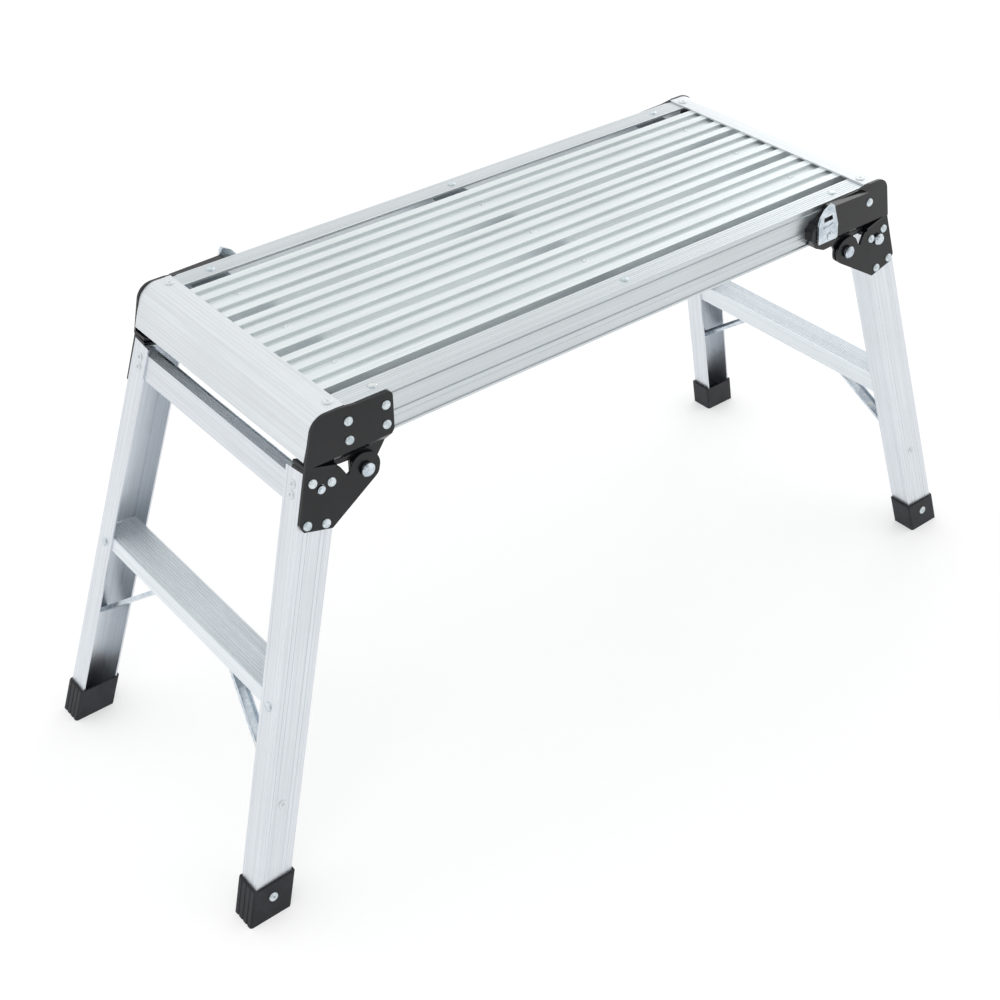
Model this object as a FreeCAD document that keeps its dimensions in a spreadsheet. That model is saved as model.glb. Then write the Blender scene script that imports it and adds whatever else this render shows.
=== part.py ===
"""Folding aluminium work platform: deck, end caps, steel corner hinges and two splayed leg frames.

The deck lies along X, its long sides face -Y (front) and +Y (back), Z is up and the floor is z = 0.
The platform looks the same after half a turn about Z, so every end piece is drawn for the left end
and turned by 180 degrees for the right end.
"""
import FreeCAD, Part
import os
import Sketcher

doc = FreeCAD.newDocument("work_platform")
sizes = doc.addObject("Spreadsheet::Sheet", "Sizes")
SIZE_LIST = [
    ("deck_height", 502.0, "floor to the top of the ribs"),
    ("cap_face", 380.0, "middle of the deck to the lower edge of a cap's end face"),
    ("cap_shoulder", 367.0, "middle of the deck to the corner that a cap is rounded from"),
    ("cap_seam", 335.0, "middle of the deck to the inner edge of a cap"),
    ("cap_drop", 39.0, "top of the ribs to the lower edge of a cap"),
    ("cap_wall", 1.8, "cap sheet"),
    ("cap_lip", 10.0, "lip turned in under a cap"),
    ("cap_radius", 20.0, "rounded top corner of a cap"),
    ("rail_face", 148.2, "middle of the deck to the outside of a rail"),
    ("rail_height", 44.8, "height of a rail"),
    ("rail_end", 350.0, "middle of the deck to the end of a rail"),
    ("rail_top_width", 22.8, "upper flange of a rail"),
    ("rail_foot_width", 24.0, "lower flange of a rail"),
    ("rail_line", 0.5, "depth of the fine grooves along a rail"),
    ("rail_wall", 2.2, "web and flanges of a rail"),
    ("rail_bead", 2.2, "height of the beads along a rail"),
    ("rail_recess", 1.2, "depth of the web behind the beads"),
    ("plank_pitch", 80.2, "middle of one plank to the next"),
    ("plank_half", 34.4, "half the width of a plank"),
    ("plank_end", 350.0, "middle of the deck to the end of a plank"),
    ("plank_depth", 13.0, "height of a plank"),
    ("plank_skin", 1.5, "sheet of a plank"),
    ("plank_foot", 8.0, "flange turned in under a plank"),
    ("groove_depth", 3.0, "depth of the grooves between the ribs"),
    ("middle_groove", 12.2, "width of the middle groove"),
    ("rib_width", 9.7, "width of a rib"),
    ("cross_width", 43.0, "width of a cross member"),
    ("cross_wall", 2.2, "sheet of a cross member"),
    ("cross_pitch", 297.0, "middle of the deck to an outer cross member"),
    ("pivot_x", 318.5, "middle of the deck to a hinge pin"),
    ("pivot_drop", 70.5, "top of the ribs to a hinge pin"),
    ("splay", 16.4, "degrees that the legs lean out along X"),
    ("tilt", 5.8, "degrees that the legs lean out along Y"),
    ("plate", 3.0, "steel sheet of the corner plates"),
    ("abut", 5.3, "pin to the faces where the plates meet, along a leg"),
    ("stop_gap", 0.6, "gap between the faces that meet when a frame is open"),
    ("joggle", 5.2, "depth that a rail plate is pressed in round the pin"),
    ("joggle_rise", 17.5, "pin to the foot of that press, upwards"),
    ("plate_out", 66.5, "pin to the outer corner of a rail plate, across a leg"),
    ("plate_rise", 2.0, "rail plate above the deck at the cap"),
    ("plate_inner", 286.0, "middle of the deck to the inner edge of a rail plate"),
    ("plate_flange", 20.0, "flange turned in where the plates meet"),
    ("lobe_radius", 13.5, "rail plate round the pin"),
    ("leg_lobe", 15.0, "leg plate round the pin"),
    ("pin_radius", 5.0, "hinge pin"),
    ("pin_head", 6.8, "head of a hinge pin"),
    ("pin_clear", 0.06, "hinge pin to the bore of a leg plate"),
    ("leg_outer", 66.0, "pin to the outer face of a leg"),
    ("leg_width", 38.5, "outer to inner face of a leg"),
    ("leg_depth", 25.8, "depth of the leg channel"),
    ("leg_wall", 1.8, "sheet of a leg"),
    ("leg_lift", 8.0, "floor to the lowest corner of a leg inside its foot"),
    ("leg_line", 0.5, "depth of the fine grooves along a leg"),
    ("leg_plate_length", 53.5, "pin to the lower edge of a leg plate"),
    ("foot_height", 39.0, "floor to the top of a foot"),
    ("foot_wall", 2.2, "rubber outside the web of a leg"),
    ("foot_side", 3.4, "rubber outside the flanges of a leg"),
    ("bar_drop", 8.0, "pin to the top of the crossbar, along a leg"),
    ("bar_height", 26.0, "height of the crossbar"),
    ("bar_wall", 1.8, "sheet of the crossbar"),
    ("end_gap", 2.5, "end of a crossbar or tread to the web of a leg"),
    ("tread_height", 235.0, "floor to the top of a tread"),
    ("tread_rib", 0.8, "height of the ribs on a tread"),
    ("tread_wall", 1.8, "sheet of a tread"),
    ("tread_front", 14.0, "outer skirt of a tread"),
    ("tread_back", 27.0, "inner skirt of a tread"),
    ("rod_radius", 4.0, "rod through the tops of the legs"),
    ("rod_drop", 14.0, "pin to the rod, along a leg"),
    ("rod_in", 19.5, "outer face of a leg to the rod"),
    ("brace_wide", 16.0, "width of a brace"),
    ("brace_thick", 2.5, "sheet of a brace"),
    ("brace_foot", 125.0, "floor to the lower end of a brace"),
    ("brace_in", 82.0, "middle of the tread to the upper end of a brace"),
    ("latch_x", 272.5, "middle of the deck to the latch pin"),
    ("latch_drop", 33.0, "top of the ribs to the latch pin"),
    ("latch_pin", 3.0, "rivet that a latch tab turns on"),
    ("housing_rise", 10.5, "latch housing outside the rail"),
    ("housing_skin", 2.2, "sheet of the latch housing"),
    ("rod_clear", 0.8, "rod to its holes"),
    ("latch_gap", 0.6, "latch tab to its housing"),
    ("latch_sheet", 2.5, "sheet of a latch tab"),
]
for row, (alias, value, note) in enumerate(SIZE_LIST, start=1):
    sizes.set(f"A{row}", alias)
    sizes.set(f"B{row}", str(value))
    sizes.setAlias(f"B{row}", alias)
    sizes.set(f"C{row}", note)
doc.recompute()
NAMES = [alias for alias, value, note in SIZE_LIST]
LINKED = {
    "cap_bottom": "deck_height - cap_drop",
    "rail_bottom": "deck_height - rail_height",
    "pivot_z": "deck_height - pivot_drop",
    "latch_z": "deck_height - latch_drop",
    "pivot_side": "rail_face",
    "rod_across": "leg_outer - rod_in",
    "lean": "tan(tilt)/cos(splay)",
    "web_gap": "leg_wall/cos(tilt) + end_gap",
    "bar_half": "pivot_side + (bar_drop - leg_outer*0.1)*tan(tilt) - web_gap",
    "tread_half": "pivot_side + (pivot_z + leg_outer*sin(splay) - tread_height)*lean - web_gap",
    "lobe_face": "rail_face + plate - joggle",
}


def bound(text):
    """Turn a formula on size names into an expression on the sheet."""
    words = []
    word = ""
    for letter in str(text) + " ":
        if letter.isalnum() or letter == "_":
            word += letter
            continue
        if word in LINKED:
            words.append("(" + bound(LINKED[word]) + ")")
        elif word:
            words.append("Sizes." + word if word in NAMES else word)
        word = ""
        words.append(letter)
    return "".join(words).strip()


def number(text):
    result = sizes.evalExpression(bound(text))
    return float(getattr(result, "Value", result))


def along(across, up):
    """A point beside the left hinge pin, in the plane of the legs' lean along X."""
    return (f"-pivot_x + ({across})*cos(splay) + ({up})*sin(splay)",
            f"pivot_z - ({across})*sin(splay) + ({up})*cos(splay)")


def start(label, turn=0, frame=""):
    """Open a body: turn is 0 at the left end and 180 at the right, frame a local placement."""
    piece = doc.addObject("PartDesign::Body", label)
    piece.Label = label
    place = f"rotation(vector(0;0;1); {turn})"
    if frame:
        place = f"placement(vector(0;0;0); {place}) * {bound(frame)}"
    else:
        place = f"placement(vector(0;0;0); {place})"
    piece.setExpression("Placement", place)
    return piece


def leg_frame(side):
    """The placement of a leg: X across it, Z up along it, Y = 0 at its outer face."""
    return (f"placement(vector(-pivot_x; {side}*pivot_side; pivot_z);"
            f" rotation(vector(0;1;0); splay) * rotation(vector(1;0;0); {side}*tilt))")


def plane_of(piece, name):
    for item in piece.Origin.OriginFeatures:
        if item.Name.startswith(name):
            return item
    raise ValueError(name)


def outline(piece, plane, points, offset, circles=(), shift=None):
    """A closed outline and round holes on an origin plane, with every point driven by the sheet."""
    sketch = piece.newObject("Sketcher::SketchObject", piece.Label + "_outline")
    sketch.AttachmentSupport = (plane_of(piece, plane), [""])
    sketch.MapMode = "FlatFace"
    sketch.setExpression("AttachmentOffset.Base.z", bound(offset))
    if shift:
        sketch.setExpression("AttachmentOffset.Base.x", bound(shift[0]))
        sketch.setExpression("AttachmentOffset.Base.y", bound(shift[1]))
    spots = [FreeCAD.Vector(number(x), number(y), 0) for x, y in points]
    count = len(spots)
    for i in range(count):
        sketch.addGeometry(Part.LineSegment(spots[i], spots[(i + 1) % count]))
    for i in range(count):
        sketch.addConstraint(Sketcher.Constraint("Coincident", i, 2, (i + 1) % count, 1))
    for i, (x, y) in enumerate(points):
        pin_down(sketch, i, 1, spots[i], x, y)
    for x, y, radius in circles:
        centre = FreeCAD.Vector(number(x), number(y), 0)
        i = sketch.addGeometry(Part.Circle(centre, FreeCAD.Vector(0, 0, 1), number(radius)))
        pin_down(sketch, i, 3, centre, x, y)
        k = sketch.addConstraint(Sketcher.Constraint("Radius", i, number(radius)))
        sketch.setExpression(f"Constraints[{k}]", bound(radius))
    return sketch


def pin_down(sketch, geometry, end, spot, x, y):
    k = sketch.addConstraint(Sketcher.Constraint("DistanceX", -1, 1, geometry, end, spot.x))
    sketch.setExpression(f"Constraints[{k}]", bound(x))
    k = sketch.addConstraint(Sketcher.Constraint("DistanceY", -1, 1, geometry, end, spot.y))
    sketch.setExpression(f"Constraints[{k}]", bound(y))


def solid(piece, sketch, length, kind="PartDesign::Pad"):
    feature = piece.newObject(kind, piece.Label + "_" + kind.split("::")[1].lower())
    feature.Profile = sketch
    feature.setExpression("Length", bound(length))
    doc.recompute()
    return feature


def slab(piece, points, low, high, circles=()):
    """An XZ outline given thickness from y = low to y = high."""
    sketch = outline(piece, "XZ_Plane", points, f"-({high})", circles)
    return solid(piece, sketch, f"({high}) - ({low})")


def run(piece, points, low, high, circles=()):
    """A YZ profile run along X from low to high."""
    sketch = outline(piece, "YZ_Plane", points, low, circles)
    return solid(piece, sketch, f"({high}) - ({low})")


def cut(piece, plane, points, low, high, circles=()):
    """Remove an outline between two distances along the plane's axis."""
    offset = f"-({low})" if plane == "XZ_Plane" else high
    sketch = outline(piece, plane, points, offset, circles)
    return solid(piece, sketch, f"({high}) - ({low})", "PartDesign::Pocket")


def rounded(piece, feature, corners, radius):
    """Round the edges that run through the given corners, in the piece's X and Z or Y and Z."""
    doc.recompute()
    wanted = [(axes, number(a), number(b)) for axes, a, b in corners]
    names = []
    for index, edge in enumerate(feature.Shape.Edges, start=1):
        first, last = edge.firstVertex().Point, edge.lastVertex().Point
        for axes, a, b in wanted:
            pair = [(p.x, p.z) if axes == "xz" else (p.y, p.z) for p in (first, last)]
            if all(abs(p - a) < 0.01 and abs(q - b) < 0.01 for p, q in pair):
                names.append(f"Edge{index}")
    if len(names) != len(corners):
        raise ValueError(f"{piece.Label}: {len(names)} of {len(corners)} corners found")
    fillet = piece.newObject("PartDesign::Fillet", piece.Label + "_fillet")
    fillet.Base = (feature, names)
    fillet.setExpression("Radius", bound(radius))
    doc.recompute()
    return fillet


def turned(piece, points, x, y_shift, z):
    """A profile of radius and distance turned about a line along Y through x and z."""
    sketch = outline(piece, "XY_Plane", points, z, shift=(x, y_shift))
    feature = piece.newObject("PartDesign::Revolution", piece.Label + "_turned")
    feature.Profile = sketch
    feature.ReferenceAxis = (sketch, ["V_Axis"])
    feature.Angle = 360.0
    doc.recompute()
    return feature


def spread(side, inner, outer):
    """Low and high y of a layer between two distances from the middle, on one side."""
    if side < 0:
        return f"-({outer})", f"-({inner})"
    return inner, outer


def make_rail(side):
    rail = start("rail_front" if side < 0 else "rail_back")
    top = "deck_height"
    recess = "rail_face - rail_recess"
    steps = [
        ("rail_face", top), ("rail_face", f"{top} - rail_bead"),
        (recess, f"{top} - rail_bead"), (recess, f"{top} - 7.3"),
        ("rail_face", f"{top} - 7.3"), ("rail_face", f"{top} - 21"),
        (recess, f"{top} - 21"), (recess, f"{top} - 26"),
        ("rail_face", f"{top} - 26"), ("rail_face", f"{top} - 31"),
        ("rail_face - rail_line", f"{top} - 31 - rail_line"),
        ("rail_face", f"{top} - 31 - 2*rail_line"), ("rail_face", "rail_bottom + 6.4"),
        (recess, "rail_bottom + 6.4"), (recess, "rail_bottom + rail_bead"),
        ("rail_face", "rail_bottom + rail_bead"), ("rail_face", "rail_bottom"),
        ("rail_face - rail_foot_width", "rail_bottom"),
        ("rail_face - rail_foot_width", "rail_bottom + rail_wall"),
        ("rail_face - rail_recess - rail_wall", "rail_bottom + rail_wall"),
        ("rail_face - rail_recess - rail_wall", f"{top} - rail_wall"),
        ("rail_face - rail_top_width", f"{top} - rail_wall"),
        ("rail_face - rail_top_width", top),
    ]
    for i in range(6, 0, -1):
        spot = f"rail_face - rail_top_width*{i}/7"
        steps += [(f"{spot} - rail_line", top), (spot, f"{top} - rail_line"),
                  (f"{spot} + rail_line", top)]
    points = [(f"{side}*({y})", z) for y, z in steps]
    run(rail, points, "-rail_end", "rail_end")
    return rail


def make_plank(label, place):
    plank = start(label)
    top = "deck_height"
    low = f"{top} - groove_depth"
    edges = [("middle_groove/2", low), ("middle_groove/2", top),
             ("middle_groove/2 + rib_width", top), ("middle_groove/2 + rib_width", low),
             ("plank_half - rib_width", low), ("plank_half - rib_width", top),
             ("plank_half", top), ("plank_half", f"{top} - plank_depth"),
             ("plank_half - plank_foot", f"{top} - plank_depth"),
             ("plank_half - plank_foot", f"{top} - plank_depth + plank_skin"),
             ("plank_half - plank_skin", f"{top} - plank_depth + plank_skin"),
             ("plank_half - plank_skin", f"{top} - plank_skin"),
             ("plank_half - rib_width + plank_skin", f"{top} - plank_skin"),
             ("plank_half - rib_width + plank_skin", f"{low} - plank_skin"),
             ("middle_groove/2 + rib_width - plank_skin", f"{low} - plank_skin"),
             ("middle_groove/2 + rib_width - plank_skin", f"{top} - plank_skin"),
             ("middle_groove/2 + plank_skin", f"{top} - plank_skin"),
             ("middle_groove/2 + plank_skin", f"{low} - plank_skin")]
    points = [(f"{place} - ({y})", z) for y, z in reversed(edges)]
    points = [(f"{place} + ({y})", z) for y, z in edges] + points
    run(plank, points, "-plank_end", "plank_end")
    return plank


def make_cross_member(label, x):
    member = start(label)
    top = "deck_height - plank_depth"
    bottom = "rail_bottom + rail_wall"
    half = "cross_width/2"
    points = [(f"{x} - {half}", bottom), (f"{x} - {half}", top),
              (f"{x} + {half}", top), (f"{x} + {half}", bottom),
              (f"{x} + {half} - cross_wall", bottom),
              (f"{x} + {half} - cross_wall", f"{top} - cross_wall"),
              (f"{x} - {half} + cross_wall", f"{top} - cross_wall"),
              (f"{x} - {half} + cross_wall", bottom)]
    reach = "rail_face - rail_recess - rail_wall"
    slab(member, points, f"-({reach})", reach)
    return member


def make_end_cap(label, turn):
    cap = start(label, turn)
    top = "deck_height + cap_wall"
    inner = "cap_face - cap_wall"
    points = [("-cap_seam", "deck_height"), ("-cap_seam", top), ("-cap_shoulder", top),
              ("-cap_face", "cap_bottom"), ("-cap_face + cap_lip", "cap_bottom"),
              ("-cap_face + cap_lip", "cap_bottom + cap_wall"),
              (f"-({inner})", "cap_bottom + cap_wall"),
              ("-cap_shoulder + cap_wall", "deck_height")]
    shell = slab(cap, points, "-rail_face", "rail_face")
    shell = rounded(cap, shell, [("xz", "-cap_shoulder", top)], "cap_radius")
    rounded(cap, shell, [("xz", "-cap_shoulder + cap_wall", "deck_height")], "cap_radius - cap_wall")
    return cap


def rail_plate_points():
    lobe = "lobe_radius"
    return [along("-plate_out", "abut"),
            ("-cap_shoulder - 2", "deck_height + plate_rise"),
            ("-cap_seam - 6", "deck_height + plate_rise"),
            ("-cap_seam + 12", "deck_height - 0.5"),
            ("-plate_inner", "deck_height - 1.6"),
            ("-plate_inner", "pivot_z + 29"),
            (f"-pivot_x + {lobe} + 2", "pivot_z + 4"),
            (f"-pivot_x + {lobe}", f"pivot_z - {lobe}"),
            (f"-pivot_x - {lobe}", f"pivot_z - {lobe}"),
            (f"-pivot_x - {lobe}", "pivot_z + joggle_rise*0.7"),
            along("-leg_outer + leg_width", "abut")]


def housing_points():
    """The pressed latch housing: a box over the rail with an open mouth, and a lobe for the tab."""
    spots = [(59, 30.5), (68, 4), (57, 9), (38, 10), (21, 7), (16, -3), (13, -12), (8.5, -16),
             (-4.5, -16.4), (-18.5, -10), (-25, 0), (-25.5, 11), (-20.5, 18), (-10, 21),
             (-3, 25), (0.5, 32)]
    return [(f"-latch_x - ({x})", f"latch_z + ({z})") for x, z in spots]


def press_in(sheet, side):
    """Fold the sheet inwards below the rail, so that the leg plate swings outside it."""
    foot, brow = "pivot_z + joggle_rise", "rail_bottom - 1"
    outer, inner = "rail_face + plate", "rail_face"
    deep = "lobe_face"
    front = [(outer, brow), (f"{outer} + 9", brow), (f"{outer} + 9", "pivot_z - 40"),
             (deep, "pivot_z - 40"), (deep, foot)]
    rear = [(inner, "deck_height + 20"), (inner, brow), (f"{deep} - plate", foot),
            (f"{deep} - plate - 9", foot), (f"{deep} - plate - 9", "deck_height + 20")]
    for points in (front, rear):
        shape = [(f"{side}*({y})", z) for y, z in points]
        cut(sheet, "YZ_Plane", shape, "-cap_face - 20", "-plate_inner + 20")


def make_rail_plate(label, turn, side):
    sheet = start(label, turn)
    points = rail_plate_points()
    low, high = spread(side, "lobe_face - plate", "rail_face + plate")
    blank = slab(sheet, points, low, high, [("-pivot_x", "pivot_z", "pin_radius")])
    blank = rounded(sheet, blank, [("xz",) + points[1]], "18")
    blank = rounded(sheet, blank, [("xz",) + points[4], ("xz",) + points[5]], "6")
    rounded(sheet, blank, [("xz",) + points[7], ("xz",) + points[8]], "lobe_radius*0.9")
    press_in(sheet, side)
    low, high = spread(side, "rail_face + plate - plate_flange", "rail_face + plate")
    flange = [along("-plate_out", "abut"), along("-plate_out", "abut + plate"),
              along("-plate_out*0.5", "abut + plate"), along("-plate_out*0.5", "abut")]
    slab(sheet, flange, low, high)
    if side > 0:
        press_housing(sheet)
    return sheet


def press_housing(sheet):
    face = "rail_face + housing_rise"
    points = housing_points()
    nose = slab(sheet, points, "rail_face", face, [("-latch_x", "latch_z", "latch_pin")])
    rounded(sheet, nose, [("xz",) + points[i] for i in (7, 8, 9, 10, 11, 12)], "5")
    spots = [(56.5, 28), (64, 5), (57, 3), (24, 3), (19, 8), (4, 24), (3, 28)]
    pocket = [(f"-latch_x - ({x})", f"latch_z + ({z})") for x, z in spots]
    cut(sheet, "XZ_Plane", pocket, "rail_face + plate", f"{face} - housing_skin")


def make_leg_plate(label, turn, side):
    plate = start(label + "_blank", turn, leg_frame(side))
    lobe = "leg_lobe"
    top = "abut - stop_gap"
    inner = "-leg_outer + leg_width"
    points = [("-leg_outer", top), (f"{inner} - 1.5", top), (f"{inner} + 5", "-1.5"), ("-20", "-5"),
              ("-17", "-2"), (f"-{lobe}", lobe), (lobe, lobe), (lobe, "-6"),
              ("-leg_outer + 37", "-leg_plate_length"), ("-leg_outer + 6", "-leg_plate_length"),
              ("-leg_outer + 0.5", "-leg_plate_length + 7")]
    low, high = spread(side, "0", "plate")
    rod_hole = [("-rod_across", "-rod_drop", "rod_radius + rod_clear")]
    blank = slab(plate, points, low, high, rod_hole)
    blank = rounded(plate, blank, [("xz",) + points[5], ("xz",) + points[6]], "leg_lobe*0.93")
    blank = rounded(plate, blank, [("xz",) + points[7]], "10")
    blank = rounded(plate, blank, [("xz",) + points[8], ("xz",) + points[9]], "2.5")
    low, high = spread(side, "-plate_flange + 3", "plate")
    flange = [("-leg_outer", top), (f"{inner} - 1.5", top), (f"{inner} - 1.5", f"{top} - plate"),
              ("-leg_outer", f"{top} - plate")]
    slab(plate, flange, low, high)
    bore = doc.addObject("Part::Cylinder", label + "_bore")
    bore.setExpression("Radius", bound("pin_radius + pin_clear"))
    bore.Height = 40
    mirror = 1 if turn == 0 else -1
    bore.setExpression("Placement", bound(
        f"placement(vector({-mirror}*pivot_x; {mirror * side}*pivot_side + 20; pivot_z);"
        " rotation(vector(1;0;0); 90))"))
    drilled = doc.addObject("Part::Cut", label)
    drilled.Base = plate
    drilled.Tool = bore
    drilled.Label = label
    doc.recompute()
    return drilled


def make_pivot_pins():
    pins = start("pivot_pins")
    pins.AllowCompound = True
    reach = "pivot_side + plate + leg_lobe*0.12"
    for end in (-1, 1):
        for side in (-1, 1):
            points = [("0", f"{side}*(lobe_face - plate - 1)"),
                      ("pin_radius", f"{side}*(lobe_face - plate - 1)"),
                      ("pin_radius", f"{side}*({reach})"),
                      ("pin_head", f"{side}*({reach})"),
                      ("pin_head", f"{side}*({reach} + 2)"),
                      ("pin_head - 1.5", f"{side}*({reach} + 3.4)"),
                      ("0", f"{side}*({reach} + 3.4)")]
            turned(pins, points, f"{end}*pivot_x", "0", "pivot_z")
    return pins


LEG_FALL = "(pivot_z + leg_outer*sin(splay) - leg_lift)/(cos(splay)*cos(tilt)) - leg_width*tan(splay)"


def make_leg(label, turn, side):
    leg = start(label, turn, leg_frame(side))
    inner = "-leg_outer + leg_width"
    profile = [("-leg_outer", "0")]
    for share in (0.2, 0.32, 0.68, 0.8):
        spot = f"-leg_outer + leg_width*{share}"
        profile += [(f"{spot} - leg_line", "0"), (spot, f"{-side}*leg_line"),
                    (f"{spot} + leg_line", "0")]
    profile += [(inner, "0"), (inner, f"{-side}*leg_depth"),
               (f"{inner} - leg_wall", f"{-side}*leg_depth"),
               (f"{inner} - leg_wall", f"{-side}*leg_wall"),
               ("-leg_outer + leg_wall", f"{-side}*leg_wall"),
               ("-leg_outer + leg_wall", f"{-side}*leg_depth"),
               ("-leg_outer", f"{-side}*leg_depth")]
    for share in (0.84, 0.16):
        spot = f"leg_depth*{share}"
        profile += [("-leg_outer", f"{-side}*({spot} + leg_line)"),
                    ("-leg_outer + leg_line", f"{-side}*{spot}"),
                    ("-leg_outer", f"{-side}*({spot} - leg_line)")]
    sketch = outline(leg, "XY_Plane", profile, f"-({LEG_FALL})")
    solid(leg, sketch, f"({LEG_FALL}) + abut - stop_gap - plate")
    low, high = spread(-side, "0", "leg_wall")
    cut(leg, "XZ_Plane", [], low, high, [("-rod_across", "-rod_drop", "rod_radius + rod_clear")])
    return leg


def floor_x(across):
    """Where a line along the left legs meets the floor."""
    return f"-pivot_x + ({across})/cos(splay) - pivot_z*tan(splay)"


def make_foot(label, turn, side, leg):
    """A rubber shoe drawn at the floor and drawn up along the leg, hollowed by the leg itself."""
    shoe = start(label + "_blank", turn)
    fall = "(pivot_z + leg_outer*sin(splay))/(cos(splay)*cos(tilt))"
    outer_y = f"pivot_side + ({fall})*sin(tilt) + foot_wall"
    inner_y = f"{outer_y} - leg_depth - 2*foot_wall"
    left = floor_x("-leg_outer") + " - foot_side"
    right = floor_x("-leg_outer + leg_width") + " + foot_side"
    points = [(left, f"{side}*({outer_y} - 2)"), (f"{left} + 2", f"{side}*({outer_y})"),
              (f"{right} - 2", f"{side}*({outer_y})"), (right, f"{side}*({outer_y} - 2)"),
              (right, f"{side}*({inner_y} + 2)"), (f"{right} - 2", f"{side}*({inner_y})"),
              (f"{left} + 2", f"{side}*({inner_y})"), (left, f"{side}*({inner_y} + 2)")]
    for share in (0.25, 0.5, 0.75):
        spot = f"{inner_y} + (leg_depth + 2*foot_wall)*{share}"
        points += [(left, f"{side}*({spot} - 1.2)"), (f"{left} + 0.7", f"{side}*({spot} - 0.5)"),
                   (f"{left} + 0.7", f"{side}*({spot} + 0.5)"), (left, f"{side}*({spot} + 1.2)")]
    sketch = outline(shoe, "XY_Plane", points, "0")
    feature = shoe.newObject("PartDesign::Pad", label + "_pad")
    feature.Profile = sketch
    feature.UseCustomVector = True
    feature.setExpression("Direction.x", bound("sin(splay)*cos(tilt)"))
    feature.setExpression("Direction.y", bound(f"{-side}*sin(tilt)"))
    feature.setExpression("Direction.z", bound("cos(splay)*cos(tilt)"))
    feature.AlongSketchNormal = True
    feature.setExpression("Length", bound("foot_height"))
    doc.recompute()
    sleeve = doc.addObject("Part::Cut", label + "_sleeve")
    sleeve.Base = shoe
    sleeve.Tool = leg
    hollow = start(label + "_hollow", turn, leg_frame(side))
    left, right = "-leg_outer + leg_wall", "-leg_outer + leg_width - leg_wall"
    inside = [(left, f"{-side}*leg_wall"), (right, f"{-side}*leg_wall"),
              (right, f"{-side}*leg_depth"), (left, f"{-side}*leg_depth")]
    solid(hollow, outline(hollow, "XY_Plane", inside, f"-({LEG_FALL})"), LEG_FALL)
    foot = doc.addObject("Part::Cut", label)
    foot.Base = sleeve
    foot.Tool = hollow
    foot.Label = label
    doc.recompute()
    return foot


def make_crossbar(label, turn):
    bar = start(label, turn)
    left = "-leg_outer + leg_wall"
    right = "-leg_outer + leg_width - leg_wall"
    top, bottom = "-bar_drop", "-bar_drop - bar_height"
    points = [along(left, top), along(f"{left} + bar_wall", top),
              along(f"{left} + bar_wall", f"{bottom} + bar_wall"),
              along(f"{right} - bar_wall", f"{bottom} + bar_wall"),
              along(f"{right} - bar_wall", top), along(right, top),
              along(right, bottom), along(left, bottom)]
    slab(bar, points, "-bar_half", "bar_half")
    return bar


def make_tread(label, turn):
    tread = start(label, turn)
    fall = "(pivot_z - tread_height)"
    left = f"-pivot_x + (-leg_outer + leg_wall)/cos(splay) - {fall}*tan(splay)"
    right = f"-pivot_x + (-leg_outer + leg_width - leg_wall)/cos(splay) - {fall}*tan(splay)"
    top = "tread_height"
    points = [(left, top)]
    for i in range(1, 13):
        spot = f"{left} + (leg_width - 2*leg_wall)/cos(splay)*{i}/13"
        points += [(f"{spot} - tread_rib", top), (f"{spot} - tread_rib*0.6", f"{top} - tread_rib"),
                   (f"{spot} + tread_rib*0.6", f"{top} - tread_rib"), (f"{spot} + tread_rib", top)]
    points += [(right, top),
              (f"{right} - tread_back*tan(splay)", f"{top} - tread_back"),
              (f"{right} - tread_back*tan(splay) - tread_wall", f"{top} - tread_back"),
              (f"{right} - tread_wall - tread_wall*tan(splay)", f"{top} - tread_wall - tread_rib"),
              (f"{left} + tread_wall - tread_wall*tan(splay)", f"{top} - tread_wall - tread_rib"),
              (f"{left} + tread_wall - tread_front*tan(splay)", f"{top} - tread_front"),
              (f"{left} - tread_front*tan(splay)", f"{top} - tread_front")]
    slab(tread, points, "-tread_half", "tread_half")
    return tread


def make_rod(label, turn):
    rod = start(label, turn)
    x, z = along("-rod_across", "-rod_drop")
    reach = "pivot_side + rod_drop*tan(tilt) + plate + (rod_radius + 2.6)*sin(tilt)"
    points = [("0", f"-({reach} + 1)"), ("rod_radius*0.6", f"-({reach} + 1)"),
              ("rod_radius*0.6", f"-({reach})"), ("rod_radius", f"-({reach})"),
              ("rod_radius", reach), ("rod_radius + 2.6", reach),
              ("rod_radius + 2.6", f"{reach} + 2"), ("rod_radius + 1", f"{reach} + 4"),
              ("0", f"{reach} + 4")]
    turned(rod, points, x, "0", z)
    return rod


def make_brace(label, turn, side):
    """A strip in the plane of the legs, from under the tread out to the inside of a leg."""
    frame = "placement(vector(-pivot_x; 0; pivot_z); rotation(vector(0;1;0); splay))"
    brace = start(label, turn, frame)
    middle = "(leg_outer - leg_width/2)"
    outer = f"({middle} + brace_wide/2)"
    up = f"-(pivot_z - tread_height + tread_wall + tread_rib + {outer}*sin(splay))/cos(splay)"
    down = f"-(pivot_z - brace_foot + {outer}*sin(splay))/cos(splay)"
    web = f"(pivot_side - ({down})*tan(tilt) - leg_wall/cos(tilt))"
    points = [(f"{side}*(brace_in)", up), (f"{side}*(brace_in - brace_thick*1.4)", up),
              (f"{side}*({web} - brace_thick*1.4)", down), (f"{side}*({web})", down)]
    run(brace, points, f"-{outer}", f"-{outer} + brace_wide")
    return brace


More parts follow.
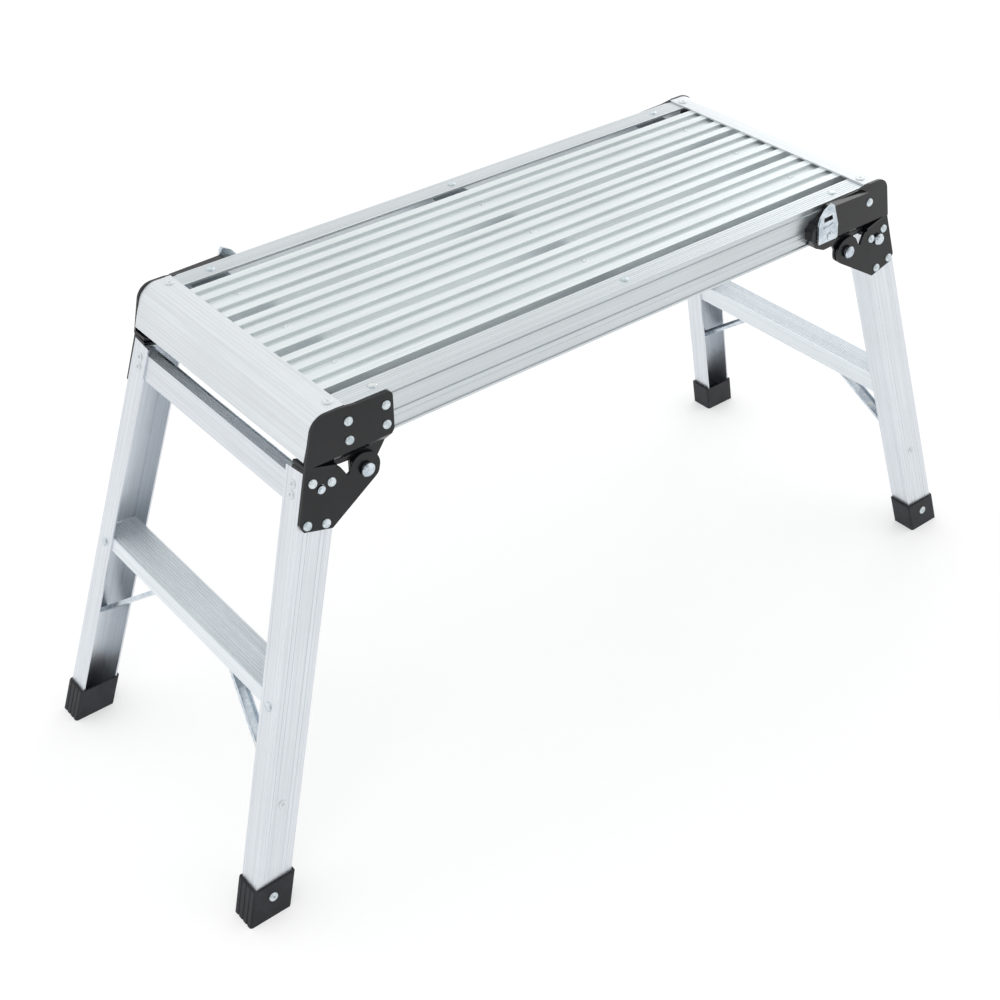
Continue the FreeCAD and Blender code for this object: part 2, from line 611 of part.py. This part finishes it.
def make_latch(label, turn, side):
    tab = start(label, turn)
    low, high = spread(side, "rail_face + housing_rise + latch_gap",
                       "rail_face + housing_rise + latch_gap + latch_sheet")
    spots = [(12, -5.5), (-17.5, -5.5), (-20, 16), (-18.5, 25), (-12.5, 33), (-3, 38),
             (2.5, 31), (6, 22), (10, 12)]
    points = [(f"-latch_x - ({x})", f"latch_z + ({z})") for x, z in spots]
    blank = slab(tab, points, low, high, [("-latch_x", "latch_z", "latch_pin + pin_clear")])
    blank = rounded(tab, blank, [("xz",) + points[i] for i in (2, 3, 4, 6, 7)], "6")
    rounded(tab, blank, [("xz",) + points[0], ("xz",) + points[1]], "2")
    slot = [(f"-latch_x - ({x})", f"latch_z + ({z})") for x, z in
            [(-13.5, 24.5), (-13, 19), (1, 19.5), (-1, 25)]]
    cut(tab, "XZ_Plane", slot, f"{low} - 1", f"{high} + 1")
    ridge = [(f"-latch_x - ({x})", f"latch_z + ({z})") for x, z in
             [(-12, 13.5), (-12, 11.8), (-5, 11), (1.5, 13.6), (1.5, 15.4), (-5, 13.2)]]
    slab(tab, ridge, high, f"{high} + 0.9")
    lip = [(f"-latch_x - ({x})", f"latch_z + ({z})") for x, z in
           [(-9.5, 34.6), (-3, 38), (0.2, 33.8), (-3.4, 34.4), (-8, 32.4)]]
    slab(tab, lip, low, f"{high} + 1.8")
    return tab


def make_latch_pins():
    pins = start("latch_pins")
    pins.AllowCompound = True
    head = "rail_face + housing_rise + latch_gap + latch_sheet + 0.3"
    for end in (-1, 1):
        points = [("0", f"{-end}*(rail_face + plate)"), ("latch_pin", f"{-end}*(rail_face + plate)"),
                  ("latch_pin", f"{-end}*({head})"), ("latch_pin + 1.8", f"{-end}*({head})"),
                  ("latch_pin + 0.8", f"{-end}*({head} + 1.6)"), ("0", f"{-end}*({head} + 1.6)")]
        turned(pins, points, f"{end}*latch_x", "0", "latch_z")
    return pins


parts = [make_rail(-1), make_rail(1)]
for place, spot in (("front", "-plank_pitch"), ("middle", "0"), ("back", "plank_pitch")):
    parts.append(make_plank("deck_plank_" + place, spot))
for place, spot in (("left", "-cross_pitch"), ("middle", "0"), ("right", "cross_pitch")):
    parts.append(make_cross_member("cross_member_" + place, spot))
parts.append(make_pivot_pins())
parts.append(make_latch_pins())
for turn, end in ((0, "left"), (180, "right")):
    parts.append(make_end_cap("end_cap_" + end, turn))
    parts.append(make_crossbar("crossbar_" + end, turn))
    parts.append(make_tread("tread_" + end, turn))
    parts.append(make_rod("lock_rod_" + end, turn))
    for side in (-1, 1):
        row = "front" if (side < 0) == (turn == 0) else "back"
        corner = f"{row}_{end}"
        leg = make_leg("leg_" + corner, turn, side)
        parts.append(leg)
        parts.append(make_foot("foot_" + corner, turn, side, leg))
        parts.append(make_rail_plate("rail_plate_" + corner, turn, side))
        parts.append(make_leg_plate("leg_plate_" + corner, turn, side))
        parts.append(make_brace("brace_" + corner, turn, side))
    parts.append(make_latch("latch_tab_" + end, turn, 1))

doc.recompute()
os.makedirs("parts", exist_ok=True)
for item in doc.Objects:
    if "Error" in item.State or "Invalid" in item.State:
        raise ValueError(f"{item.Label}: {item.State}")
for piece in parts:
    if piece.Shape.isNull() or not piece.Shape.isValid():
        raise ValueError(f"{piece.Label} has no sound shape")
for piece in parts:
    piece.Shape.exportStep(f"parts/{piece.Label}.step")
print(len(parts), "nodes")
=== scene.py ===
import math
import bmesh
import bpy
from mathutils import Matrix, Vector
from mathutils.bvhtree import BVHTree


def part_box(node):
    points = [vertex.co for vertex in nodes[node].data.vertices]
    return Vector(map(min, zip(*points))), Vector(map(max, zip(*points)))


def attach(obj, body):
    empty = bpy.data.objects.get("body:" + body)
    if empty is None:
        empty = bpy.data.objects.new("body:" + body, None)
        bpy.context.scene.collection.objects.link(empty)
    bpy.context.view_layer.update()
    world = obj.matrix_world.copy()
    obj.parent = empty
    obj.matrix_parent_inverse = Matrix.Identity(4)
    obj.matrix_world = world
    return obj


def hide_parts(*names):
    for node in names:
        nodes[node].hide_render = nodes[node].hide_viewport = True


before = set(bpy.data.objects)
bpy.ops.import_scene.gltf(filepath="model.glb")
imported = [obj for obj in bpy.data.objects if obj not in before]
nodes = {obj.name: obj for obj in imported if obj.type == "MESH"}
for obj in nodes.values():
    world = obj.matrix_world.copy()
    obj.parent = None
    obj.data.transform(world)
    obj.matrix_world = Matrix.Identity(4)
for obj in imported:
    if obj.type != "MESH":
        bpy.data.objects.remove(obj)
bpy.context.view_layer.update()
print("stage 1: the packed platform is in")

# corner hinges of the left end, in metres and degrees; the right end is this one turned by half a turn
hinge = {"x": 0.3185, "z": 0.4315, "side": 0.1482, "splay": 16.4, "tilt": 5.8, "outer": 0.066}
deck = {"top": 0.502, "railFace": 0.1482, "capTop": 0.5038, "groove": 0.499}


def halfTurn(turn):
    return Matrix.Rotation(math.pi if turn else 0.0, 4, "Z")


def legMatrix(turn, side):
    # a leg's own space: its hinge, with its splay and its tilt
    lean = Matrix.Rotation(math.radians(hinge["splay"]), 4, "Y")
    lean = lean @ Matrix.Rotation(math.radians(side * hinge["tilt"]), 4, "X")
    spot = Matrix.Translation((-hinge["x"], side * hinge["side"], hinge["z"]))
    return halfTurn(turn) @ spot @ lean


def leanMatrix(turn):
    # a leg frame's own space: its middle between the hinges, with the splay of its legs
    lean = Matrix.Rotation(math.radians(hinge["splay"]), 4, "Y")
    return halfTurn(turn) @ Matrix.Translation((-hinge["x"], 0, hinge["z"])) @ lean


class Wire:
    # a value or vector socket that can be used in sums
    def __init__(self, finish, socket):
        self.finish = finish
        self.socket = socket

    def maths(self, operation, other=0.0, flipped=False):
        pair = [other, self] if flipped else [self, other]
        return self.finish.add("ShaderNodeMath", {"operation": operation}, pair)

    def __add__(self, other):
        return self.maths("ADD", other)

    def __radd__(self, other):
        return self.maths("ADD", other, True)

    def __sub__(self, other):
        return self.maths("SUBTRACT", other)

    def __rsub__(self, other):
        return self.maths("SUBTRACT", other, True)

    def __mul__(self, other):
        return self.maths("MULTIPLY", other)

    def __rmul__(self, other):
        return self.maths("MULTIPLY", other, True)


class Nodes:
    def __init__(self, tree):
        self.tree = tree

    def add(self, kind, settings=None, inputs=None, out=0):
        node = self.tree.nodes.new(kind)
        for key, value in (settings or {}).items():
            if key == "stops":
                ramp = node.color_ramp
                while len(ramp.elements) < len(value):
                    ramp.elements.new(0.5)
                for element, (place, colour) in zip(ramp.elements, value):
                    element.position = place
                    element.color = colour
            else:
                setattr(node, key, value)
        pairs = inputs.items() if isinstance(inputs, dict) else enumerate(inputs or [])
        for key, value in pairs:
            if isinstance(value, Wire):
                self.tree.links.new(value.socket, node.inputs[key])
            else:
                node.inputs[key].default_value = value
        return Wire(self, node.outputs[out])


class Finish(Nodes):
    # one material, with its Principled shader ready
    def __init__(self, name, plain):
        self.material = bpy.data.materials.new(name)
        self.material.use_nodes = True
        super().__init__(self.material.node_tree)
        self.shader = self.tree.nodes["Principled BSDF"]
        for socket, value in plain.items():
            self.shader.inputs[socket].default_value = value

    def feed(self, **wires):
        for key, wire in wires.items():
            self.tree.links.new(wire.socket, self.shader.inputs[key.replace("_", " ")])

    def place(self):
        return self.add("ShaderNodeTexCoord", out="Object")

    def noise(self, point, scale, detail=2.0, rough=0.5):
        values = {"Vector": point, "Scale": scale, "Detail": detail, "Roughness": rough}
        return self.add("ShaderNodeTexNoise", {}, values, out="Fac")

    def blend(self, factor, low, high):
        return self.add("ShaderNodeMix", {"data_type": "RGBA"}, {0: factor, 6: low, 7: high}, out=2)

    def between(self, wire, low, high):
        values = {"Value": wire, "From Min": low, "From Max": high}
        return self.add("ShaderNodeMapRange", {"interpolation_type": "SMOOTHSTEP"}, values)

    def bump(self, height, strength, distance):
        values = {"Height": height, "Strength": strength, "Distance": distance}
        return self.add("ShaderNodeBump", {}, values)

    def stretched(self, axes, scales):
        # the point measured along three directions, each with its own scale
        point = self.place()
        parts = []
        for axis, scale in zip(axes, scales):
            reach = self.add("ShaderNodeVectorMath", {"operation": "DOT_PRODUCT"},
                             {0: point, 1: tuple(a * scale for a in axis)}, out="Value")
            parts.append(reach)
        return self.add("ShaderNodeCombineXYZ", {}, parts)


# the two colours of drawn aluminium, and how fine its lines, bands, clouds and spots are, per metre
aluminium = {"dull": (0.62, 0.65, 0.685), "clean": (0.73, 0.765, 0.805),
             "lineAcross": 1100.0, "lineAlong": 6.0, "bandAcross": 210.0, "bandAlong": 0.8,
             "cloud": 9.0, "spot": 420.0, "cloudShare": 0.2, "grainDepth": 0.0002}
# brightness, share of broad bands, roughness, grain depth, metal share and tint of each kind of piece
drawnLooks = {
    "leg": {"tone": 1.05, "bands": 0.20, "rough": 0.31, "grain": 0.04, "metal": 0.92,
            "tint": (1, 1, 1)},
    "cap": {"tone": 1.06, "bands": 0.10, "rough": 0.42, "grain": 0.02, "metal": 0.9,
            "tint": (1.01, 1.005, 0.985)},
    "bar": {"tone": 1.05, "bands": 0.15, "rough": 0.36, "grain": 0.03, "metal": 0.7,
            "tint": (1, 1, 1)},
    "tread": {"tone": 1.15, "bands": 0.15, "rough": 0.46, "grain": 0.03, "metal": 0.72,
              "tint": (1, 1.005, 0.99)},
    "rail": {"tone": 0.90, "bands": 0.40, "rough": 0.27, "grain": 0.06, "metal": 0.85,
             "tint": (0.99, 1.005, 0.985)},
    "plank": {"tone": 1.10, "bands": 0.20, "rough": 0.36, "grain": 0.03, "metal": 0.58,
              "tint": (1.0, 1.015, 0.975)},
}


def drawnAluminium(name, axes, kind):
    # fine die lines along the last of the axes, broader bands, and a faint cloud of handling marks
    look = drawnLooks[kind]
    low = tuple(c * look["tone"] * k for c, k in zip(aluminium["dull"], look["tint"])) + (1,)
    high = tuple(c * look["tone"] * k for c, k in zip(aluminium["clean"], look["tint"])) + (1,)
    finish = Finish(name, {"Metallic": look["metal"]})
    across, along = aluminium["lineAcross"], aluminium["lineAlong"]
    fine = finish.noise(finish.stretched(axes, (across, across, along)), 1.0, 3.0)
    across, along = aluminium["bandAcross"], aluminium["bandAlong"]
    band = finish.noise(finish.stretched(axes, (across, across, along)), 1.0, 2.0)
    cloud = finish.noise(finish.place(), aluminium["cloud"], 4.0, 0.6)
    spots = finish.between(finish.noise(finish.place(), aluminium["spot"], 2.0), 0.66, 0.78)
    share = aluminium["cloudShare"]
    tone = fine * (1 - share - look["bands"]) + band * look["bands"] + cloud * share
    colour = finish.blend(finish.between(tone, 0.34, 0.66), low, high)
    rough = look["rough"] + 0.08 * fine + 0.08 * cloud + 0.05 * spots
    grain = fine * (1.0 - look["bands"]) + band * look["bands"]
    bump = finish.bump(grain, look["grain"], aluminium["grainDepth"])
    finish.feed(Base_Color=colour, Roughness=rough, Normal=bump)
    return finish.material


powderCoat = {"dark": (0.0045, 0.0050, 0.0065, 1), "light": (0.011, 0.012, 0.014, 1),
              "peel": 700.0, "patch": 30.0, "dust": 1600.0, "rough": 0.17}


def blackSteel(name):
    # powder coat: nearly black and glossy with a fine orange peel, a little dust on it
    finish = Finish(name, {"Metallic": 0.0, "Specular IOR Level": 0.36})
    peel = finish.noise(finish.place(), powderCoat["peel"], 3.0, 0.6)
    patch = finish.noise(finish.place(), powderCoat["patch"], 4.0, 0.6)
    dust = finish.between(finish.noise(finish.place(), powderCoat["dust"], 1.0), 0.70, 0.80)
    worn = finish.between(patch + dust * 0.4, 0.3, 0.9)
    rough = powderCoat["rough"] + 0.10 * patch + 0.10 * dust
    colour = finish.blend(worn, powderCoat["dark"], powderCoat["light"])
    finish.feed(Base_Color=colour, Roughness=rough, Normal=finish.bump(peel, 0.10, 0.0003))
    return finish.material


zincCoat = {"warm": (0.72, 0.72, 0.66, 1), "mottle": 260.0, "cloud": 55.0, "warmPatch": 70.0, "rough": 0.20}


def bluedZinc(name, dark, light):
    # bright zinc with its bluish passivation, mottled and warmer in patches
    finish = Finish(name, {"Metallic": 1.0})
    mottle = finish.noise(finish.place(), zincCoat["mottle"], 4.0, 0.6)
    cloud = finish.noise(finish.place(), zincCoat["cloud"], 3.0, 0.5)
    tint = finish.blend(finish.between(mottle * 0.5 + cloud * 0.5, 0.35, 0.65), dark, light)
    patch = finish.between(finish.noise(finish.place(), zincCoat["warmPatch"], 2.0), 0.6, 0.75)
    colour = finish.blend(patch, tint, zincCoat["warm"])
    rough = zincCoat["rough"] + 0.18 * mottle
    finish.feed(Base_Color=colour, Roughness=rough, Normal=finish.bump(mottle, 0.08, 0.0003))
    return finish.material


mouldedRubber = {"dark": (0.010, 0.011, 0.014, 1), "light": (0.022, 0.024, 0.029, 1),
                 "grain": 1400.0, "patch": 45.0, "rough": 0.50}


def footRubber(name):
    # matt moulded rubber, a little grey where it has been handled
    finish = Finish(name, {"Metallic": 0.0, "Specular IOR Level": 0.35})
    grain = finish.noise(finish.place(), mouldedRubber["grain"], 3.0, 0.7)
    patch = finish.noise(finish.place(), mouldedRubber["patch"], 4.0, 0.6)
    handled = finish.between(patch, 0.35, 0.7)
    colour = finish.blend(handled, mouldedRubber["dark"], mouldedRubber["light"])
    rough = mouldedRubber["rough"] + 0.2 * patch
    finish.feed(Base_Color=colour, Roughness=rough, Normal=finish.bump(grain, 0.18, 0.0004))
    return finish.material


def directions(matrix):
    turned = matrix.to_3x3()
    return [tuple(turned.col[i]) for i in range(3)]


worldAxes = {"x": (1, 0, 0), "y": (0, 1, 0), "z": (0, 0, 1)}
alongDeck = (worldAxes["y"], worldAxes["z"], worldAxes["x"])
acrossDeck = (worldAxes["x"], worldAxes["z"], worldAxes["y"])
railFinish = drawnAluminium("rail_aluminium", alongDeck, "rail")
plankFinish = drawnAluminium("plank_aluminium", alongDeck, "plank")
capFinish = drawnAluminium("cap_aluminium", acrossDeck, "cap")
barFinish = drawnAluminium("bar_aluminium", acrossDeck, "bar")
treadFinish = drawnAluminium("tread_aluminium", acrossDeck, "tread")
steel = blackSteel("black_coated_steel")
zinc = bluedZinc("blued_zinc", (0.46, 0.52, 0.58, 1), (0.72, 0.78, 0.83, 1))
brightZinc = bluedZinc("rivet_zinc", (0.46, 0.54, 0.58, 1), (0.72, 0.78, 0.81, 1))
rubber = footRubber("foot_rubber")


def wear(node, material):
    mesh = nodes[node].data
    mesh.materials.clear()
    mesh.materials.append(material)


# finish by the start of a piece's name, the longer start first
packedFinishes = {"rail_plate": steel, "leg_plate": steel, "foot_": rubber, "brace_": zinc, "lock_rod": zinc,
                  "latch_": zinc, "pivot_pins": zinc, "rail_": railFinish, "deck_plank": plankFinish,
                  "end_cap": capFinish, "crossbar": barFinish, "cross_member": barFinish, "tread": treadFinish}
for name in nodes:
    for opening, material in packedFinishes.items():
        if name.startswith(opening):
            wear(name, material)
            break

corners = []
for turn, end in ((0, "left"), (1, "right")):
    for side in (-1, 1):
        row = "front" if (side < 0) == (turn == 0) else "back"
        corners.append((turn, side, end, row))
        axes = directions(legMatrix(turn, side))
        wear(f"leg_{row}_{end}", drawnAluminium(f"leg_aluminium_{row}_{end}", axes, "leg"))
print("stage 2: finishes are on the packed pieces")

# rivets: radius, height and profile of each kind, the profile as shares of the radius and of the height
rivetKinds = {
    "stud": {"radius": 0.0047, "height": 0.0022,
             "profile": [(1.0, 0.0), (0.99, 0.3), (0.9, 0.66), (0.74, 0.9), (0.6, 1.0), (0.5, 0.98),
                         (0.42, 0.84), (0.0, 0.8)]},
    "deck": {"radius": 0.0043, "height": 0.0015,
             "profile": [(1.0, 0.0), (0.95, 0.45), (0.74, 0.82), (0.4, 1.0), (0.3, 0.9), (0.0, 0.84)]},
    "flush": {"radius": 0.0040, "height": 0.0012,
              "profile": [(1.0, 0.0), (0.9, 0.5), (0.6, 0.9), (0.36, 1.0), (0.28, 0.5), (0.0, 0.4)]},
    "tread": {"radius": 0.0047, "height": 0.0020,
              "profile": [(1.0, 0.0), (0.97, 0.4), (0.84, 0.75), (0.55, 0.96), (0.0, 1.0)]},
    "blind": {"radius": 0.0046, "height": 0.0010,
              "profile": [(1.0, 0.0), (0.96, 0.55), (0.8, 0.95), (0.42, 1.0), (0.34, 0.5), (0.30, -0.5),
                          (0.0, -0.5)]},
    "flat": {"radius": 0.0050, "height": 0.0011,
             "profile": [(1.0, 0.0), (0.97, 0.6), (0.86, 1.0), (0.22, 1.0), (0.18, 0.2), (0.0, 0.1)]},
    "foot": {"radius": 0.0050, "height": 0.0012,
             "profile": [(1.0, 0.0), (0.98, 0.5), (0.88, 1.0), (0.62, 1.0), (0.56, 0.6), (0.46, 0.6),
                         (0.36, 1.1), (0.26, 1.1), (0.22, -0.5), (0.0, -0.5)]},
}
segments = 32
rivetFoot = 0.0006  # how far a rivet goes on below the face that it sits on
trees = {}
up = Vector((0, 0, 1))


def addRivet(mesh, kind, centre, normal):
    spec = rivetKinds[kind]
    across = normal.orthogonal().normalized()
    other = normal.cross(across)

    def ring(share, rise):
        spokes = []
        for i in range(segments):
            angle = 2 * math.pi * i / segments
            spoke = across * math.cos(angle) + other * math.sin(angle)
            spokes.append(mesh.verts.new(centre + normal * rise + spoke * (share * spec["radius"])))
        return spokes

    rings = [ring(1.0, -rivetFoot)]
    rings += [ring(share, rise * spec["height"]) for share, rise in spec["profile"][:-1]]
    for low, high in zip(rings, rings[1:]):
        for i in range(segments):
            j = (i + 1) % segments
            mesh.faces.new((low[i], low[j], high[j], high[i]))
    mesh.faces.new(rings[0][::-1])
    hub = mesh.verts.new(centre + normal * (spec["profile"][-1][1] * spec["height"]))
    for i in range(segments):
        mesh.faces.new((rings[-1][i], rings[-1][(i + 1) % segments], hub))


def seat(node, point, normal, reach=0.03):
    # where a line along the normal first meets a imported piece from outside
    if node not in trees:
        data = nodes[node].data
        trees[node] = BVHTree.FromPolygons([v.co for v in data.vertices], [p.vertices for p in data.polygons])
    hit = trees[node].ray_cast(point + normal * reach, -normal, reach * 2)
    if hit[0] is None:
        print("no seat on", node, tuple(round(c * 1000, 1) for c in point))
        return point
    return hit[0]


def addPiece(name, mesh, body, material, smooth=True):
    data = bpy.data.meshes.new(name)
    bmesh.ops.recalc_face_normals(mesh, faces=mesh.faces)
    mesh.to_mesh(data)
    mesh.free()
    for face in data.polygons:
        face.use_smooth = smooth
    data.materials.append(material)
    piece = bpy.data.objects.new(name, data)
    bpy.context.scene.collection.objects.link(piece)
    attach(piece, body)
    return piece


def rivetPiece(name, body, material, spots):
    mesh = bmesh.new()
    for kind, node, centre, normal in spots:
        normal = Vector(normal).normalized()
        addRivet(mesh, kind, seat(node, Vector(centre), normal), normal)
    return addPiece(name, mesh, body, material)


# rivets of the deck: the cross members along it, and the rows in the rails and planks
deckRivets = {"crossX": (-0.297, 0.0, 0.297), "railY": 0.1368, "plankY": 0.0802}
spots = []
for x in deckRivets["crossX"]:
    for row, side in (("front", -1), ("back", 1)):
        spots.append(("deck", f"rail_{row}", (x, side * deckRivets["railY"], deck["top"]), up))
rivetPiece("rail_rivets", "platform", brightZinc, spots)
spots = []
for x in deckRivets["crossX"]:
    for row, side in (("front", -1), ("middle", 0), ("back", 1)):
        spots.append(("flush", f"deck_plank_{row}", (x, side * deckRivets["plankY"], deck["groove"]), up))
rivetPiece("plank_rivets", "platform", plankFinish, spots)

# rivets on the flat tops of the end caps
capRivets = {"x": 0.3432, "y": 0.1355}
spots = []
for end, sx in (("left", -1), ("right", 1)):
    for sy in (-1, 1):
        spots.append(("flat", f"end_cap_{end}", (sx * capRivets["x"], sy * capRivets["y"], deck["capTop"]), up))
rivetPiece("cap_rivets", "platform", capFinish, spots)

# rivets of the corner plates on the deck: distance along the deck and height
plateRivets = {"plain": ((-0.294, 0.488), (-0.2942, 0.4679), (-0.3337, 0.4879), (-0.3338, 0.4682)),
               "latched": ((-0.3345, 0.4872),)}
spots = []
for turn, side, end, row in corners:
    spin = halfTurn(turn)
    for x, z in plateRivets["plain" if side < 0 else "latched"]:
        centre = spin @ Vector((x, side * deck["railFace"], z))
        spots.append(("stud", f"rail_plate_{row}_{end}", centre, spin.to_3x3() @ Vector((0, side, 0))))
rivetPiece("plate_rivets", "platform", brightZinc, spots)

# rivets of a leg, from its hinge: distance across the leg and along it
legRivets = {"plate": ((-0.0568, -0.0074), (-0.0367, -0.0081), (-0.0572, -0.0472), (-0.037, -0.0476)),
             "flange": ((0.0135, -0.0127), (0.0142, -0.0229)), "tread": (0.0132, -0.2344),
             "brace": (-0.0471, -0.3378), "foot": (-0.0471, -0.4415)}
for end in ("left", "right"):
    zincSpots, plainSpots, footSpots = [], [], []
    for turn, side, where, row in corners:
        if where != end:
            continue
        space = legMatrix(turn, side)
        turned = space.to_3x3()
        outward = turned @ Vector((0, side, 0))
        endward = turned @ Vector((-1, 0, 0))
        for across, along in legRivets["plate"]:
            zincSpots.append(("stud", f"leg_plate_{row}_{end}", space @ Vector((across, 0, along)), outward))
        for inward, along in legRivets["flange"]:
            spot = space @ Vector((-hinge["outer"], -side * inward, along))
            plainSpots.append(("blind", f"leg_{row}_{end}", spot, endward))
        inward, along = legRivets["tread"]
        spot = space @ Vector((-hinge["outer"], -side * inward, along))
        zincSpots.append(("tread", f"leg_{row}_{end}", spot, endward))
        across, along = legRivets["brace"]
        plainSpots.append(("blind", f"leg_{row}_{end}", space @ Vector((across, 0, along)), outward))
        across, along = legRivets["foot"]
        footSpots.append(("foot", f"foot_{row}_{end}", space @ Vector((across, 0, along)), outward))
    rivetPiece(f"leg_zinc_rivets_{end}", f"leg_frame_{end}", brightZinc, zincSpots + footSpots)
    rivetPiece(f"leg_rivets_{end}", f"leg_frame_{end}", capFinish, plainSpots)


def skin(mesh, loops):
    # closes the space between two loops of the same count, and its two ends
    for i in range(len(loops[0])):
        j = (i + 1) % len(loops[0])
        mesh.faces.new((loops[0][i], loops[0][j], loops[1][j], loops[1][i]))
    mesh.faces.new(loops[0][::-1])
    mesh.faces.new(loops[1])


# closed crossbar with a ribbed top, narrower than the legs
crossbar = {"left": -0.0642, "right": -0.0515, "top": -0.0080, "bottom": -0.0340,
            "ribs": 4, "groove": 0.0008, "slit": 0.26}


def crossbarProfile():
    # across and along the leg: ribs with narrow grooves between them, then the two lower corners
    pitch = (crossbar["right"] - crossbar["left"]) / crossbar["ribs"]
    slit, top = crossbar["slit"], crossbar["top"]
    low = top - crossbar["groove"]
    points = []
    for i in range(crossbar["ribs"]):
        start = crossbar["left"] + i * pitch
        points.append((start, top))
        if i < crossbar["ribs"] - 1:
            points += [(start + (1 - slit) * pitch, top), (start + (1 - 0.8 * slit) * pitch, low),
                       (start + (1 - 0.2 * slit) * pitch, low)]
    points += [(crossbar["right"], top), (crossbar["right"], crossbar["bottom"]),
               (crossbar["left"], crossbar["bottom"])]
    return points


for turn, end in ((0, "left"), (1, "right")):
    low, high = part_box(f"crossbar_{end}")
    mesh = bmesh.new()
    space = leanMatrix(turn)
    skin(mesh, [[mesh.verts.new(space @ Vector((x, y, z))) for x, z in crossbarProfile()]
                for y in (low[1], high[1])])
    piece = addPiece(f"ribbed_crossbar_{end}", mesh, f"leg_frame_{end}", barFinish, False)
    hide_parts(f"crossbar_{end}")

# braces: a folded strip from under the tread out to the web of a leg, in the lean of the legs
brace = {"middle": -0.0468, "wide": 0.013, "lip": 0.0042, "thick": 0.0012,
         "tread": (0.052, -0.2335), "leg": (0.1796, -0.338)}


def addBrace(mesh, space, side):
    start = Vector((0, side * brace["tread"][0], brace["tread"][1]))
    finish = Vector((0, side * brace["leg"][0], brace["leg"][1]))
    way = (finish - start).normalized()
    lift = Vector((1, 0, 0)).cross(way) * side
    half, lip, thick = brace["wide"] / 2, brace["lip"], brace["thick"]
    outline = [(-half, lip), (-half, 0), (half, 0), (half, lip), (half - thick, lip),
               (half - thick, thick), (-half + thick, thick), (-half + thick, lip)]
    loops = []
    for spot in (start, finish):
        loops.append([mesh.verts.new(space @ (Vector((brace["middle"] + across, 0, 0)) + spot + lift * rise))
                      for across, rise in outline])
    skin(mesh, loops)


for turn, side, end, row in corners:
    mesh = bmesh.new()
    addBrace(mesh, leanMatrix(turn), side)
    piece = addPiece(f"folded_brace_{row}_{end}", mesh, f"leg_frame_{end}", zinc, False)
    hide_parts(f"brace_{row}_{end}")
print("stage 3: rivets, crossbars and braces are in")

# camera of the photograph
shot = {"azimuth": -38.699, "elevation": 36.725, "roll": -0.457, "lens": 56.6445, "sensor": 36.0,
        "spot": (-0.933965, -1.107815, 1.239239)}


def addCamera():
    a, e, r = (math.radians(shot[k]) for k in ("azimuth", "elevation", "roll"))
    back = Vector((math.sin(a) * math.cos(e), -math.cos(a) * math.cos(e), math.sin(e)))
    right = (-back).cross(Vector((0, 0, 1))).normalized()
    upward = right.cross(-back)
    tilted = math.cos(r) * right + math.sin(r) * upward
    upward = -math.sin(r) * right + math.cos(r) * upward
    camera = bpy.data.cameras.new("camera")
    camera.lens = shot["lens"]
    camera.sensor_width = shot["sensor"]
    holder = bpy.data.objects.new("camera", camera)
    turned = Matrix((tilted, upward, back)).transposed()
    holder.matrix_world = Matrix.Translation(shot["spot"]) @ turned.to_4x4()
    bpy.context.scene.collection.objects.link(holder)
    bpy.context.scene.camera = holder


addCamera()

# light: a white room, a broad soft box in front on the left, and a low one behind on the right
lamps = {
    "key": {"spot": (-1.9, -1.6, 2.4), "size": 1.8, "power": 12.0},
    "side": {"spot": (3.0, 1.5, 1.3), "size": 1.6, "power": 10.0},
}
lampAim = Vector((0, 0, 0.3))
for name, spec in lamps.items():
    lamp = bpy.data.lights.new(name, "AREA")
    lamp.size = spec["size"]
    lamp.energy = spec["power"]
    holder = bpy.data.objects.new(name, lamp)
    holder.location = spec["spot"]
    holder.rotation_euler = (Vector(spec["spot"]) - lampAim).to_track_quat("Z", "Y").to_euler()
    bpy.context.scene.collection.objects.link(holder)
room = bpy.data.worlds.new("room")
room.use_nodes = True
# the room is white, and darker up behind the photographer
roomLight = {"bright": 1.10, "dark": 0.42, "toward": (-0.50, -0.66, 0.56), "inner": 0.93, "outer": 0.45}
roomNodes = Nodes(room.node_tree)
heading = roomNodes.add("ShaderNodeTexCoord", out="Generated")
facing = roomNodes.add("ShaderNodeVectorMath", {"operation": "DOT_PRODUCT"},
                       {0: heading, 1: roomLight["toward"]}, out="Value")
strength = roomNodes.add("ShaderNodeMapRange", {"interpolation_type": "SMOOTHSTEP"},
                         {"Value": facing, "From Min": roomLight["outer"], "From Max": roomLight["inner"],
                          "To Min": roomLight["bright"], "To Max": roomLight["dark"]})
background = room.node_tree.nodes["Background"]
background.inputs["Color"].default_value = (1.0, 1.0, 1.0, 1)
room.node_tree.links.new(strength.socket, background.inputs["Strength"])
bpy.context.scene.world = room
bpy.context.scene.view_settings.view_transform = "Standard"

# a pale floor that glows a little, so that the undersides stay light
paperFloor = {"half": 9.0, "colour": (0.60, 0.60, 0.60, 1), "glow": 0.46}
half = paperFloor["half"]
floorMesh = bpy.data.meshes.new("floor")
floorMesh.from_pydata([(-half, -half, 0), (half, -half, 0), (half, half, 0), (-half, half, 0)], [], [(0, 1, 2, 3)])
floor = bpy.data.objects.new("floor", floorMesh)
paper = Finish("floor_paper", {"Base Color": paperFloor["colour"], "Roughness": 0.9, "Specular IOR Level": 0.1,
                              "Emission Color": (1.0, 1.0, 1.0, 1), "Emission Strength": paperFloor["glow"]})
floorMesh.materials.append(paper.material)
bpy.context.scene.collection.objects.link(floor)
print("stage 4: camera, light and floor")
